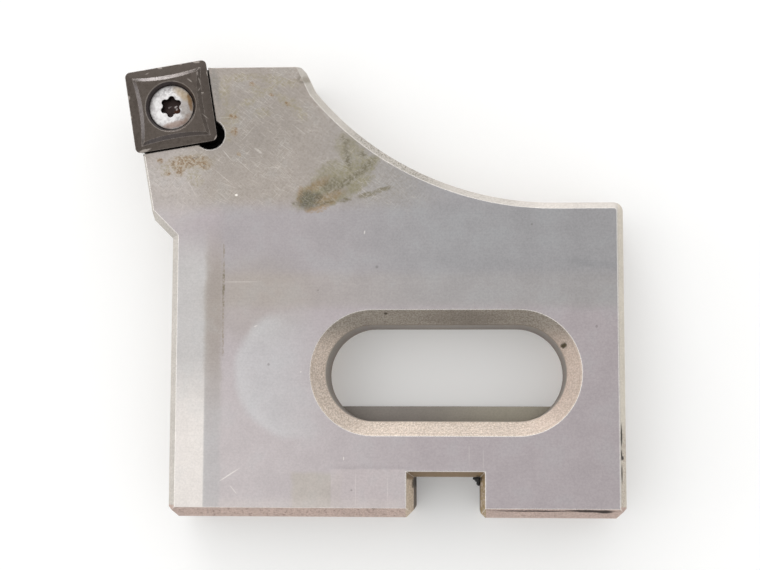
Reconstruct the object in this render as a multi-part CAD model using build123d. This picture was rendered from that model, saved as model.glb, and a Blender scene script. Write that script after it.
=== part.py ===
from build123d import *
import os
from math import asin, atan2, cos, radians, sin, sqrt, tan

# Boring cartridge with one indexable insert, lying on its back face.
# The origin is the middle of the clamp slot, on the back face. X runs along the slot,
# Y points to the cutting end, and Z points out of the face that carries the insert.
# All lengths are millimetres and all angles are degrees.

# Body block, measured from the middle of the clamp slot
body_thickness = 14.0
body_width = 68.3
body_height = 68.3
slot_to_right_side = 26.7
slot_to_bottom_edge = 21.5
side_bevel = 1.0
bottom_bevel = 1.4
bottom_corner_cut = 1.5
step_corner_radius = 1.4

# Step beside the head: a flat ledge that runs out in a large arc
ledge_height = 47.2
ledge_flat_length = 10.1
runout_radius = 47.0
runout_stop_below_front = 3.85
head_flat_run = 1.5
head_corner_cut = 0.8

# Shoulder and flanks of the head
head_length = 26.3
shoulder_angle = 45.0
flank_angle = 10.2
flank_setback = 0.85
front_setback = 0.85
head_relief_angle = 7.0
nose_flat = 0.6
head_edge_break = 0.35

# Clamp slot, through the body, with a straight ledge low on its back
slot_length = 36.3
slot_width = 14.5
slot_bevel = 2.2
slot_ledge_reach = 2.45
slot_ledge_thickness = 1.6

# Adjusting notch in the bottom edge
notch_width = 9.9
notch_depth = 6.0
notch_offset = 0.2
notch_bevel_height = 1.0
notch_bevel_left = 1.2
notch_bevel_right = 0.75
notch_bevel_top = 0.85
notch_mouth_cut_left = 1.1
notch_mouth_cut_right = 0.7

# Cutting insert: square, positive, with a raised plateau behind a chip groove
insert_side = 12.7
insert_thickness = 4.76
insert_relief_angle = 7.0
insert_nose_radius = 0.8
insert_hole_diameter = 5.5
countersink_diameter = 7.9
countersink_half_angle = 30.0
edge_land = 0.12
groove_width = 1.4
groove_depth = 0.15
groove_corner_width = 1.0
plateau_rise = 0.2
plateau_wall_width = 0.65
plateau_corner_wall = 0.55

# Where the insert sits: its middle, its turn, and how far its edge stands out of the face
insert_past_side = 0.4
insert_behind_front = 6.1
insert_turn = 9.3
insert_proud = 0.5

# Pocket for the insert
pocket_gap = 0.22
pocket_gap_depth = 1.4
corner_relief_diameter = 4.5
corner_relief_inset = 1.1
corner_relief_below_seat = 1.0
corner_relief_break = 0.15

# Insert screw, with a six-lobe socket
screw_diameter = 4.5
screw_head_diameter = 6.8
screw_head_rim = 0.15
screw_dome_height = 0.6
screw_reach_below_seat = 6.0
screw_tip_bevel = 0.5
seat_clearance = 0.01
thread_clearance = 0.03
tapped_hole_extra_depth = 1.5
tapped_hole_mouth_bevel = 0.3
drill_point_half_angle = 59.0
socket_lobes = 6
socket_across_lobes = 3.35
socket_across_teeth = 2.6
socket_lobe_radius = 0.5
socket_tooth_rounding = 0.08
socket_mouth_bevel = 0.1
socket_depth = 1.7
socket_turn = 87.0

# Sizes worked out from those above
left_x = slot_to_right_side - body_width
right_x = slot_to_right_side
bottom_y = -slot_to_bottom_edge
front_y = body_height - slot_to_bottom_edge
ledge_y = ledge_height - slot_to_bottom_edge
shoulder_y = front_y - head_length
runout_centre = (right_x - ledge_flat_length, ledge_y + runout_radius)
insert_x = left_x - insert_past_side
insert_y = front_y - insert_behind_front
insert_half = insert_side / 2
edge_level = body_thickness + insert_proud
plateau_level = edge_level + plateau_rise
seat_level = edge_level - insert_thickness
cutting_margin = 1.0
far = body_width + body_height
parts_folder = "parts"


def insert_frame(level):
    """Frame of the insert at a level: its X and Y run along the insert's sides."""
    return Pos(insert_x, insert_y, level) * Rot(0, 0, insert_turn)


def in_plan(across, along):
    """Point of the plan for a point given along the insert's own sides."""
    turn = radians(insert_turn)
    x = insert_x + across * cos(turn) - along * sin(turn)
    y = insert_y + across * sin(turn) + along * cos(turn)
    return (x, y)


def meet(a, a_direction, b, b_direction):
    """Point where two lines of the plan meet, each given by a point and a direction angle."""
    ux, uy = cos(radians(a_direction)), sin(radians(a_direction))
    vx, vy = cos(radians(b_direction)), sin(radians(b_direction))
    share = ((b[0] - a[0]) * vy - (b[1] - a[1]) * vx) / (ux * vy - uy * vx)
    return (a[0] + share * ux, a[1] + share * uy)


def insert_half_at(level):
    """Half the insert's side at a level: its flanks lean inwards below the cutting edge."""
    return insert_half - (edge_level - level) * tan(radians(insert_relief_angle))


# Corners of the plan that the insert and the shoulder fix together
flank_direction = 90 + flank_angle
flank_start = in_plan(flank_setback - insert_half, -insert_half)
front_line_start = in_plan(0, insert_half - front_setback)
shoulder_corner = meet((left_x, shoulder_y), 180 - shoulder_angle, flank_start, flank_direction)
nose_corner = meet(flank_start, flank_direction, front_line_start, insert_turn)
front_corner = meet((0, front_y), 0, front_line_start, insert_turn)
runout_stop_y = front_y - runout_stop_below_front
runout_drop = runout_centre[1] - runout_stop_y
runout_stop = (runout_centre[0] - sqrt(runout_radius**2 - runout_drop**2), runout_stop_y)
head_flat_end = (runout_stop[0] - head_flat_run, front_y - head_corner_cut)
head_cut_end = (head_flat_end[0] - head_corner_cut, front_y)


def middle(a, b):
    """Point half way between two points of the plan."""
    return ((a[0] + b[0]) / 2, (a[1] + b[1]) / 2)


def runout_middle():
    """Middle of the run-out arc, from the ledge to the head."""
    ledge_turn = radians(-90)
    head_turn = atan2(runout_stop[1] - runout_centre[1], runout_stop[0] - runout_centre[0])
    turn = (ledge_turn + head_turn) / 2
    x = runout_centre[0] + runout_radius * cos(turn)
    y = runout_centre[1] + runout_radius * sin(turn)
    return (x, y)


def edges_at(solid, points):
    """The edges of a solid that lie nearest to some points."""
    return [solid.edges().sort_by_distance(point)[0] for point in points]


def rectangle(x_from, x_to, y_from, y_to):
    """Flat rectangle between two values of X and two of Y."""
    centre = Pos((x_from + x_to) / 2, (y_from + y_to) / 2)
    return centre * Rectangle(x_to - x_from, y_to - y_from)


def hole(radius, depth):
    """Cylinder that goes down from the origin."""
    return Cylinder(radius, depth, align=(Align.CENTER, Align.CENTER, Align.MAX))


def cone(radius, lower_radius, depth):
    """Cone or funnel that goes down from the origin."""
    return Cone(lower_radius, radius, depth, align=(Align.CENTER, Align.CENTER, Align.MAX))


def body_block():
    """The block with its step, run-out arc, shoulder and bevelled edges."""
    ledge_corner = (right_x, ledge_y)
    ledge_end = (runout_centre[0], ledge_y)
    straight = Polyline(
        runout_stop,
        head_flat_end,
        head_cut_end,
        front_corner,
        nose_corner,
        shoulder_corner,
        (left_x, shoulder_y),
        (left_x, bottom_y),
        (right_x, bottom_y),
        ledge_corner,
        ledge_end,
    )
    runout = ThreePointArc(ledge_end, runout_middle(), runout_stop)
    block = extrude(make_face(straight + runout), body_thickness)
    block = fillet(edges_at(block, [(*ledge_corner, body_thickness / 2)]), step_corner_radius)
    side_points = [
        (right_x, 0),
        runout_middle(),
        middle(runout_stop, head_flat_end),
        middle((left_x, shoulder_y), (left_x, bottom_y)),
        middle(shoulder_corner, (left_x, shoulder_y)),
    ]
    for level in (0, body_thickness):
        sides = [(x, y, level) for x, y in side_points]
        block = chamfer(edges_at(block, sides), side_bevel)
        block = chamfer(edges_at(block, [(0, bottom_y, level)]), bottom_bevel)
    return block


def corner_prism(corner, size):
    """Prism that takes a 45 degree cut off an upright corner of the plan."""
    side = size * sqrt(2)
    height = body_thickness + 2 * cutting_margin
    return Pos(*corner, body_thickness / 2) * Rot(0, 0, 45) * Box(side, side, height)


def relief_block(start, direction):
    """Block that cuts a flank back below an edge of the face, on the left of that edge."""
    turn = radians(direction)
    lean = radians(head_relief_angle)
    along = (cos(turn), sin(turn), 0)
    outward = (-sin(turn) * cos(lean), cos(turn) * cos(lean), -sin(lean))
    plane = Plane(origin=(*start, body_thickness), x_dir=along, z_dir=outward)
    return plane * Box(far, far, far, align=(Align.MIN, Align.CENTER, Align.MIN))


def head_reliefs():
    """The three cuts that clear the head below the insert: flank, front and nose."""
    flank_foot = meet(flank_start, flank_direction, (0, shoulder_y), 0)
    front_foot = in_plan(-insert_side, insert_half - front_setback)
    nose_direction = insert_turn + 45
    nose_turn = radians(nose_direction)
    back_off = insert_half
    nose_foot_x = nose_corner[0] + nose_flat * sin(nose_turn) - back_off * cos(nose_turn)
    nose_foot_y = nose_corner[1] - nose_flat * cos(nose_turn) - back_off * sin(nose_turn)
    return [
        relief_block(flank_foot, flank_direction),
        relief_block(front_foot, insert_turn),
        relief_block((nose_foot_x, nose_foot_y), nose_direction),
    ]


def clamp_slot(block):
    """Cut the slot and bevel both its mouths, then add the straight ledge at its back."""
    opening = extrude(SlotOverall(slot_length, slot_width), body_thickness)
    block = block - opening
    mouths = [(0, slot_width / 2, level) for level in (0, body_thickness)]
    block = chamfer(edges_at(block, mouths), slot_bevel)
    mouth_half = slot_width / 2 + slot_bevel
    ledge_half = slot_length / 2 + slot_bevel
    ledge_plan = rectangle(-ledge_half, ledge_half, -mouth_half, slot_ledge_reach - slot_width / 2)
    return block + extrude(ledge_plan, slot_ledge_thickness)


def adjusting_notch():
    """The notch in the bottom edge, with its bevels and the cuts at its mouth."""
    left = notch_offset - notch_width / 2
    right = notch_offset + notch_width / 2
    top = bottom_y + notch_depth
    below = bottom_y - cutting_margin
    inner = rectangle(left, right, below, top)
    outer = rectangle(left - notch_bevel_left, right + notch_bevel_right, below, top + notch_bevel_top)
    through = extrude(inner, body_thickness)
    bevel_foot = Pos(0, 0, body_thickness - notch_bevel_height) * inner
    bevel = loft([bevel_foot, Pos(0, 0, body_thickness) * outer])
    left_mouth = corner_prism((left, bottom_y), notch_mouth_cut_left)
    right_mouth = corner_prism((right, bottom_y), notch_mouth_cut_right)
    return through + bevel + left_mouth + right_mouth


def pocket_walls(level, wall, height):
    """Space of the pocket from a level up: two walls lean outwards with the insert's flanks."""
    reach = insert_half + insert_side
    plan = rectangle(-reach, wall, -wall, reach)
    return insert_frame(level) * extrude(plan, height, taper=-insert_relief_angle)


def insert_pocket():
    """The seat and its two walls, the gap above them and the relief hole in their corner."""
    gap_level = body_thickness - pocket_gap_depth
    gap_wall = insert_half_at(gap_level) + pocket_gap
    seat = pocket_walls(seat_level, insert_half_at(seat_level), insert_thickness)
    gap = pocket_walls(gap_level, gap_wall, pocket_gap_depth + insert_proud)
    relief_radius = corner_relief_diameter / 2
    relief_depth = body_thickness - seat_level + corner_relief_below_seat
    relief_at = insert_half - corner_relief_inset
    relief = hole(relief_radius, relief_depth)
    relief = relief + cone(relief_radius + corner_relief_break, relief_radius, corner_relief_break)
    return seat + gap + insert_frame(body_thickness) * Pos(relief_at, -relief_at) * relief


def tapped_hole():
    """Hole for the screw below the seat, with a small bevel at its mouth and a drill point."""
    radius = screw_diameter / 2 + thread_clearance
    depth = screw_reach_below_seat + tapped_hole_extra_depth
    point_depth = radius / tan(radians(drill_point_half_angle))
    mouth = cone(radius + tapped_hole_mouth_bevel, radius, tapped_hole_mouth_bevel)
    point = Pos(0, 0, -depth) * cone(radius, 0, point_depth)
    return insert_frame(seat_level) * (hole(radius, depth) + mouth + point)


def make_body():
    """The whole cartridge body."""
    body = clamp_slot(body_block())
    body = body - adjusting_notch()
    body = body - corner_prism((left_x, bottom_y), bottom_corner_cut)
    body = body - corner_prism((right_x, bottom_y), bottom_corner_cut)
    for relief in head_reliefs():
        body = body - relief
    body = body - insert_pocket() - tapped_hole()
    flank_middle = middle(shoulder_corner, flank_start)
    return chamfer(edges_at(body, [(*flank_middle, body_thickness)]), head_edge_break)


def bowed_square(corner, side_middle):
    """Square whose four sides bow inwards between its corners."""
    sides = []
    for turn in (0, 90, 180, 270):
        side = ThreePointArc((-corner, -corner), (0, -side_middle), (corner, -corner))
        sides.append(Rot(0, 0, turn) * side)
    return make_face(sides)


def make_insert():
    """The cutting insert: relief flanks, rounded noses, chip groove, plateau and screw hole."""
    seat_side = 2 * insert_half_at(seat_level)
    block = extrude(Rectangle(seat_side, seat_side), insert_thickness, taper=-insert_relief_angle)
    noses = [edge for edge in block.edges() if abs(edge.tangent_at(0.5).Z) > 0.5]
    block = fillet(noses, insert_nose_radius)
    foot_corner = insert_half - groove_corner_width
    foot_middle = insert_half - groove_width
    foot = bowed_square(foot_corner, foot_middle)
    plateau = bowed_square(foot_corner - plateau_corner_wall, foot_middle - plateau_wall_width)
    land_side = insert_side - 2 * edge_land
    foot_level = insert_thickness - groove_depth
    top_level = insert_thickness + plateau_rise
    groove_foot = Pos(0, 0, foot_level) * foot
    groove_mouth = Pos(0, 0, insert_thickness) * Rectangle(land_side, land_side)
    groove = loft([groove_foot, groove_mouth])
    raised = loft([groove_foot, Pos(0, 0, top_level) * plateau])
    sink_radius = countersink_diameter / 2
    hole_radius = insert_hole_diameter / 2
    sink_depth = (sink_radius - hole_radius) / tan(radians(countersink_half_angle))
    screw_hole = hole(hole_radius, top_level + cutting_margin) + cone(sink_radius, hole_radius, sink_depth)
    return insert_frame(seat_level) * (block - groove + raised - Pos(0, 0, top_level) * screw_hole)


def socket_outline():
    """Six-lobe outline of the socket: round lobes about a core, with rounded teeth between them."""
    outline = Circle(socket_across_teeth / 2)
    lobe_distance = socket_across_lobes / 2 - socket_lobe_radius
    for lobe in PolarLocations(lobe_distance, socket_lobes):
        outline = outline + lobe * Circle(socket_lobe_radius)
    return fillet(outline.vertices(), socket_tooth_rounding)


def make_screw():
    """The insert screw: cone under the head, domed top, plain shank and lobed socket."""
    radius = screw_diameter / 2
    head_radius = screw_head_diameter / 2
    slope = tan(radians(countersink_half_angle))
    rim_level = plateau_level - (countersink_diameter / 2 - seat_clearance - head_radius) / slope
    neck_level = rim_level - (head_radius - radius) / slope
    tip_level = seat_level - screw_reach_below_seat
    dome_level = rim_level + screw_head_rim
    top_level = dome_level + screw_dome_height
    dome_radius = (head_radius**2 + screw_dome_height**2) / (2 * screw_dome_height)
    half_turn = asin(head_radius / dome_radius) / 2
    dome_middle = (dome_radius * sin(half_turn), top_level - dome_radius * (1 - cos(half_turn)))
    sides = Polyline(
        (0, top_level),
        (0, tip_level),
        (radius - screw_tip_bevel, tip_level),
        (radius, tip_level + screw_tip_bevel),
        (radius, neck_level),
        (head_radius, rim_level),
        (head_radius, dome_level),
    )
    dome = ThreePointArc((head_radius, dome_level), dome_middle, (0, top_level))
    screw = revolve(Plane.XZ * make_face(sides + dome), Axis.Z)
    mouth_radius = socket_across_lobes / 2
    mouth = cone(mouth_radius + socket_mouth_bevel, mouth_radius, socket_mouth_bevel)
    socket = Rot(0, 0, socket_turn) * extrude(socket_outline(), -socket_depth) + mouth
    return Pos(insert_x, insert_y, 0) * (screw - Pos(0, 0, top_level) * socket)


def main():
    os.makedirs(parts_folder, exist_ok=True)
    pieces = {
        "cartridge_body": make_body(),
        "cutting_insert": make_insert(),
        "insert_screw": make_screw(),
    }
    for name, piece in pieces.items():
        export_step(piece, os.path.join(parts_folder, name + ".step"))


main()
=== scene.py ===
import bpy
from math import cos, radians, sin
from mathutils import Matrix, Vector
from types import SimpleNamespace


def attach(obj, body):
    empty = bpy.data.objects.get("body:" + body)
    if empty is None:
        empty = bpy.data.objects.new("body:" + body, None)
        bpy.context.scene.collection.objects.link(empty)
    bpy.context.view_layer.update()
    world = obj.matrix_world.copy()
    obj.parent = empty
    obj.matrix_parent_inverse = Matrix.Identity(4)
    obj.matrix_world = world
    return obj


# A boring cartridge lying on its back, seen from above. Lengths in the tables below are millimetres
# in the plan of the part: X along the clamp slot, Y towards the cutting end, Z up to the viewer.
MM = 0.001
FACE = 14.0                       # height of the body's front face
SLOT_HALF_STRAIGHT = 10.9         # half the straight run of the clamp slot
SLOT_WALL = 7.25                  # from the slot's middle line to its wall
SLOT_EDGE = 9.45                  # from the slot's middle line to the outer edge of its bevel
INSERT_MIDDLE = (-42.0, 40.7)
INSERT_TURN = 9.3
RELIEF_HOLE = (-36.03, 36.23)
INSERT_SEAT = 9.74                # height of the pocket's floor, under the insert
POCKET_WALL = 6.68                # from the insert's middle to the pocket's walls
RELIEF_HOLE_RADIUS = 2.36
FACE_LEFT, FACE_BOTTOM = -41.0, -20.3
FAR = 30.0                        # past the end of what a zone has to cover
# Where the head's own tone starts and where it is full, upwards in Y and leftwards in X, as the
# inputs 1 and 2 of a Map Range node
HEAD_RISE = {1: 23.5, 2: 27.0}
HEAD_SIDE = {1: 2.0, 2: -8.0}

# Settings that many nodes share
SMOOTH = {"interpolation_type": "SMOOTHSTEP"}
TIMES = {"operation": "MULTIPLY"}
TIMES_PLUS = {"operation": "MULTIPLY_ADD"}
MINUS = {"operation": "SUBTRACT"}
SIZE_OF = {"operation": "ABSOLUTE"}
GREATEST = {"operation": "MAXIMUM"}
ALONG = {"operation": "DOT_PRODUCT"}

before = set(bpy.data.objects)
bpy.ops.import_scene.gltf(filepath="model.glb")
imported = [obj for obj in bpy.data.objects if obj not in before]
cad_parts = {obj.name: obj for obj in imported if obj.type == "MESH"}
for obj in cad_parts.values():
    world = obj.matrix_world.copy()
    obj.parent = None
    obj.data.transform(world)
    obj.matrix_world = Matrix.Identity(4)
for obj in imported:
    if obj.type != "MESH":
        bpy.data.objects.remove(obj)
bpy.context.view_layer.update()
bpy.ops.object.select_all(action="DESELECT")


def linear(hex_colour):
    """Linear colour of an sRGB hex value."""
    values = [int(hex_colour[i:i + 2], 16) / 255 for i in (1, 3, 5)]
    return tuple(v / 12.92 if v <= 0.04045 else ((v + 0.055) / 1.055) ** 2.4 for v in values) + (1.0,)


def add(tree, kind, inputs=None, out=0, **settings):
    """Add a node with its settings. Each input takes a value or another node's output.
    Returns one output, or a list of them where out is a tuple."""
    made = tree.nodes.new(kind)
    for name, value in settings.items():
        setattr(made, name, value)
    for key, value in (inputs or {}).items():
        if isinstance(value, bpy.types.NodeSocket):
            tree.links.new(value, made.inputs[key])
        else:
            made.inputs[key].default_value = value
    if isinstance(out, tuple):
        return [made.outputs[one] for one in out]
    return made.outputs[out] if made.outputs else None


def new_material(name):
    """An empty material with a Principled shader, and its tree."""
    material = bpy.data.materials.new(name)
    material.use_nodes = True
    tree = material.node_tree
    return material, tree, tree.nodes["Principled BSDF"]


def connect(tree, shader, **outputs):
    """Link outputs to the shader's inputs. An underscore stands for the space in an input's name."""
    for name, output in outputs.items():
        tree.links.new(output, shader.inputs[name.replace("_", " ")])


def in_millimetres(tree, middle=(0.0, 0.0), turn=0.0, stretch=(1.0, 1.0, 1.0)):
    """The place on the part in millimetres, from a point of the plan and turned, or stretched for a grain."""
    place = add(tree, "ShaderNodeTexCoord", out=3)
    if middle != (0.0, 0.0) or turn:
        place = add(tree, "ShaderNodeMapping", {
            "Vector": place, "Location": (middle[0] * MM, middle[1] * MM, 0),
            "Rotation": (0, 0, radians(turn)),
        }, vector_type="TEXTURE")
    scale = [part / MM for part in stretch]
    return add(tree, "ShaderNodeMapping", {"Vector": place, "Scale": scale}, vector_type="POINT")


def ragged(tree, place, across, wave_mm, reach_mm):
    """X and Y pushed about by noise, so that a mark drawn with them gets a ragged outline."""
    noise = add(tree, "ShaderNodeTexNoise", {
        "Vector": place, "Scale": 1 / wave_mm, "Detail": 4.0, "Roughness": 0.6,
    }, out=1)
    pushed = []
    for along, push in zip(across, add(tree, "ShaderNodeSeparateColor", {0: noise}, out=(0, 1))):
        push = add(tree, "ShaderNodeMath", {0: push, 1: 4 * reach_mm, 2: -2 * reach_mm}, **TIMES_PLUS)
        pushed.append(add(tree, "ShaderNodeMath", {0: along, 1: push}, operation="ADD"))
    return pushed


def oval(tree, across, centre, half, turn=0.0, soft=0.3):
    """1 inside an oval of the plan and 0 outside it."""
    c, s = cos(radians(turn)), sin(radians(turn))
    squares = 0.0
    for way_x, way_y, size in ((c, s, half[0]), (-s, c, half[1])):
        start = -(centre[0] * way_x + centre[1] * way_y) / size
        part = add(tree, "ShaderNodeMath", {0: across[0], 1: way_x / size, 2: start}, **TIMES_PLUS)
        part = add(tree, "ShaderNodeMath", {0: across[1], 1: way_y / size, 2: part}, **TIMES_PLUS)
        squares = add(tree, "ShaderNodeMath", {0: part, 1: part, 2: squares}, **TIMES_PLUS)
    ends = {1: (1 + soft) ** 2, 2: max(1 - soft, 0.0) ** 2}
    return add(tree, "ShaderNodeMapRange", {0: squares, **ends}, **SMOOTH)


def ovals(tree, across, marks, soft):
    """The greatest of some ovals, each given by its middle, half sizes and turn."""
    greatest = 0.0
    for centre, half, turn in marks:
        one = oval(tree, across, centre, half, turn, soft)
        greatest = add(tree, "ShaderNodeMath", {0: one, 1: greatest}, **GREATEST)
    return greatest


def field(tree, across, low, high, soft=0.5):
    """1 inside a rectangle of the plan and 0 outside it, with an edge that is soft millimetres wide."""
    nearest = 1e3
    for along, start, end in zip(across, low, high):
        off = add(tree, "ShaderNodeMath", {0: along, 1: (start + end) / 2}, **MINUS)
        off = add(tree, "ShaderNodeMath", {0: off}, **SIZE_OF)
        inside = add(tree, "ShaderNodeMath", {0: (end - start) / 2, 1: off}, **MINUS)
        nearest = add(tree, "ShaderNodeMath", {0: inside, 1: nearest}, operation="MINIMUM")
    return add(tree, "ShaderNodeMapRange", {0: nearest, 1: -soft / 2, 2: soft / 2}, **SMOOTH)


def ring(tree, squares, radius, half):
    """1 along the line where a squared distance passes a radius."""
    off = add(tree, "ShaderNodeMath", {0: squares, 1: radius ** 2}, **MINUS)
    off = add(tree, "ShaderNodeMath", {0: off}, **SIZE_OF)
    return add(tree, "ShaderNodeMapRange", {0: off, 1: 2 * radius * half, 2: radius * half}, **SMOOTH)


def paint(tree, under, colour, *masks, amount=1.0):
    """The colour under a mark, with the mark's colour laid over it where all its masks say."""
    mask = amount
    for part in masks:
        mask = add(tree, "ShaderNodeMath", {0: part, 1: mask}, **TIMES)
    colour = colour if isinstance(colour, bpy.types.NodeSocket) else linear(colour)
    return add(tree, "ShaderNodeMix", {0: mask, 6: under, 7: colour}, out=2, data_type="RGBA")


def edge_wear_and_highlight(tree, radius_mm, start, full):
    """The normal rounded off near sharp edges, and 1 along those edges."""
    rounded = add(tree, "ShaderNodeBevel", {"Radius": radius_mm * MM}, samples=6)
    sharp = add(tree, "ShaderNodeNewGeometry", out=1)
    same = add(tree, "ShaderNodeVectorMath", {0: rounded, 1: sharp}, out=1, **ALONG)
    return rounded, add(tree, "ShaderNodeMapRange", {0: same, 1: start, 2: full}, **SMOOTH)


def scratches(tree, turn, length_mm, width_mm, rarity, seed):
    """Fine lines that run one way, as handling leaves them."""
    own = in_millimetres(tree, (seed * 17.3, seed * -7.1), turn, (1 / length_mm, 1 / width_mm, 0.0))
    lines = add(tree, "ShaderNodeTexNoise", {"Vector": own, "Scale": 1.0, "Detail": 1.0, "Distortion": 0.25})
    return add(tree, "ShaderNodeMapRange", {0: lines, 1: rarity, 2: rarity + 0.09}, **SMOOTH)


# Broad tones of the front face, where washers, stops and swarf rubbed it brighter or duller:
# low corner, high corner, softness, colour, amount. The thin and crisp ones have a straight edge.
FACE_FIELDS = [
    ((-34.0, 15.0), (26.0, 25.2), 2.6, "#9a9798", 0.45),
    ((-33.5, 10.0), (28.0, 15.0), 2.0, "#a0998f", 0.4),
    ((-17.0, -14.35), (-6.2, -13.85), 0.25, "#9c9496", 0.2),
    ((-23.0, -20.3), (-15.5, -15.0), 1.0, "#afa89e", 0.6),
    ((-17.1, -20.3), (-6.0, -14.4), 0.12, "#b9b0b0", 0.72),
    ((-41.0, -20.3), (-6.6, -19.0), 1.6, "#c8c0bb", 0.35),
]
# Single light scratches and nicks: middle, half sizes, turn, amount
SCRATCHES = [
    ((-31.8, 27.0), (0.2, 0.13), 0, 1.0), ((-12.2, 21.2), (0.08, 0.25), -10, 0.45),
    ((-32.35, -15.3), (1.5, 0.08), 33, 0.4), ((-31.7, -17.5), (0.75, 0.06), -50, 0.35),
    ((-31.2, 13.7), (2.3, 0.04), 0, 0.35), ((-15.2, -12.8), (0.07, 0.24), 0, 0.5),
    ((3.5, -12.0), (0.06, 1.2), 0, 0.14), ((5.6, -13.0), (0.06, 1.3), 0, 0.14),
    ((-8.6, -17.2), (0.04, 1.8), 0, 0.18), ((-13.4, -17.4), (0.04, 2.3), 0, 0.18),
    ((-28.6, 7.0), (0.24, 0.07), 20, 0.35), ((-21.7, 0.1), (0.1, 0.1), 0, 0.4),
    ((18.8, -3.5), (0.16, 0.1), 0, 0.6), ((-33.6, 39.0), (1.0, 0.06), 2, 0.15),
    ((-38.6, 28.0), (1.6, 0.05), -60, 0.14), ((-26.5, 31.2), (1.5, 0.05), 3, 0.16),
    ((-22.2, 37.0), (1.2, 0.06), -38, 0.18), ((-30.6, 31.5), (1.8, 0.05), -42, 0.2),
    ((-33.8, 29.8), (1.5, 0.05), -40, 0.2), ((-33.4, 33.3), (0.8, 0.06), -50, 0.25),
    ((-28.5, 33.8), (0.6, 0.16), -35, 0.25), ((-24.2, 34.2), (1.5, 0.05), -33, 0.16),
    ((-30.0, 36.6), (1.2, 0.05), 48, 0.14), ((-40.0, 25.8), (0.06, 2.4), -8, 0.06),
]
# Coolant residue: its olive film, the orange-brown and black parts of it, and its thin streaks:
# middle, half sizes, turn
STAIN = [
    ((-19.6, 27.2), (3.2, 1.55), 32), ((-15.6, 29.6), (4.2, 1.6), 33), ((-12.2, 31.4), (2.1, 1.1), 33),
    ((-17.6, 26.2), (2.8, 0.7), 12), ((-13.2, 28.6), (2.2, 0.8), 34),
]
STAIN_LOBE = [
    ((-14.6, 33.8), (1.5, 2.2), 22), ((-12.8, 33.0), (1.1, 0.9), -40), ((-18.0, 30.4), (2.2, 1.0), 36),
]
STAIN_BROWN = [
    ((-18.9, 26.2), (0.9, 0.6), 20), ((-19.6, 28.4), (1.7, 0.6), 34), ((-17.2, 26.6), (1.5, 0.7), 24),
    ((-20.0, 24.7), (1.0, 0.4), 10), ((-22.0, 26.8), (0.4, 1.1), 0), ((-18.6, 25.2), (0.8, 0.45), 14),
]
STAIN_CORE = [((-20.8, 26.2), (1.25, 1.15), 0), ((-19.5, 26.6), (0.8, 0.6), 20)]
STAIN_SPECKS = [
    ((-17.4, 28.4), (1.3, 0.75), 35), ((-14.4, 29.4), (2.6, 0.42), 38), ((-12.0, 31.2), (1.5, 0.5), 42),
    ((-15.2, 35.3), (0.8, 0.4), -30), ((-14.8, 32.6), (0.4, 1.5), 10), ((-12.6, 33.2), (0.5, 0.35), 0),
    ((-18.4, 25.7), (1.3, 0.25), 14), ((-22.2, 25.5), (0.9, 0.2), -12),
]
STREAKS = [
    ((-9.7, 27.65), (1.25, 0.26), 15), ((-11.8, 26.95), (1.1, 0.3), 12), ((-15.2, 26.1), (0.7, 0.22), 8),
]
# Rust bloom, its stronger orange grains, and the olive oil film about them: middle, half sizes, turn
RUST = [
    ((-39.6, 32.2), (2.0, 0.7), 6), ((-36.9, 32.0), (0.85, 0.7), -40), ((-40.6, 31.1), (0.6, 0.75), 0),
    ((-42.4, 30.4), (0.35, 0.3), 0), ((-43.6, 32.4), (0.4, 0.3), 0), ((-31.5, 33.3), (0.35, 0.2), -40),
    ((-29.6, 44.2), (0.35, 0.25), 0), ((-32.4, 39.1), (0.55, 0.35), -20), ((-24.1, 41.1), (0.4, 0.2), -30),
    ((-26.6, 42.5), (0.3, 0.2), 0), ((-32.2, 36.8), (0.4, 0.5), 0),
]
OIL_FILM = [
    ((-39.6, 31.7), (3.0, 1.1), 8), ((-38.2, 29.8), (1.2, 0.8), -50), ((-42.6, 31.0), (0.7, 0.8), 10),
    ((-32.9, 38.6), (0.9, 1.6), -14), ((-33.8, 42.8), (0.6, 1.8), 4), ((-28.0, 39.8), (0.9, 0.6), 0),
    ((-27.4, 43.0), (1.6, 0.5), 30), ((-24.6, 41.6), (1.4, 0.5), -32), ((-33.4, 36.4), (0.6, 0.9), 0),
    ((-30.2, 41.2), (0.9, 0.5), 20), ((-31.6, 45.2), (2.6, 0.5), 3), ((-25.4, 44.6), (2.4, 0.6), -8),
    ((-22.6, 40.2), (1.6, 0.6), -48), ((-29.0, 43.2), (0.7, 0.5), 0),
]
# Small dull dents in the face, and black grime along its edges: middle, half sizes, turn
DENTS = [
    ((-26.6, 1.2), (0.18, 0.18), 0), ((-10.3, 15.9), (0.2, 0.2), 0), ((22.5, 6.9), (0.18, 0.18), 0),
    ((-26.4, 45.0), (0.17, 0.17), 0), ((-14.0, -17.5), (0.14, 0.14), 0), ((13.0, 22.3), (0.14, 0.14), 0),
    ((-19.2, 12.4), (0.12, 0.12), 0), ((-38.2, 32.8), (0.5, 0.16), 12), ((-36.8, 31.5), (0.18, 0.16), 0),
]
EDGE_GRIME = [
    ((21.3, -20.40), (3.2, 0.16), -1), ((12.9, -20.42), (5.2, 0.09), 0), ((23.4, -20.48), (1.1, 0.22), 0),
    ((26.0, -9.3), (0.11, 1.5), 0), ((25.98, -12.2), (0.1, 0.7), 0), ((26.15, -12.6), (0.14, 0.3), 0),
    ((26.0, -14.9), (0.09, 1.2), 0),
]


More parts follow.
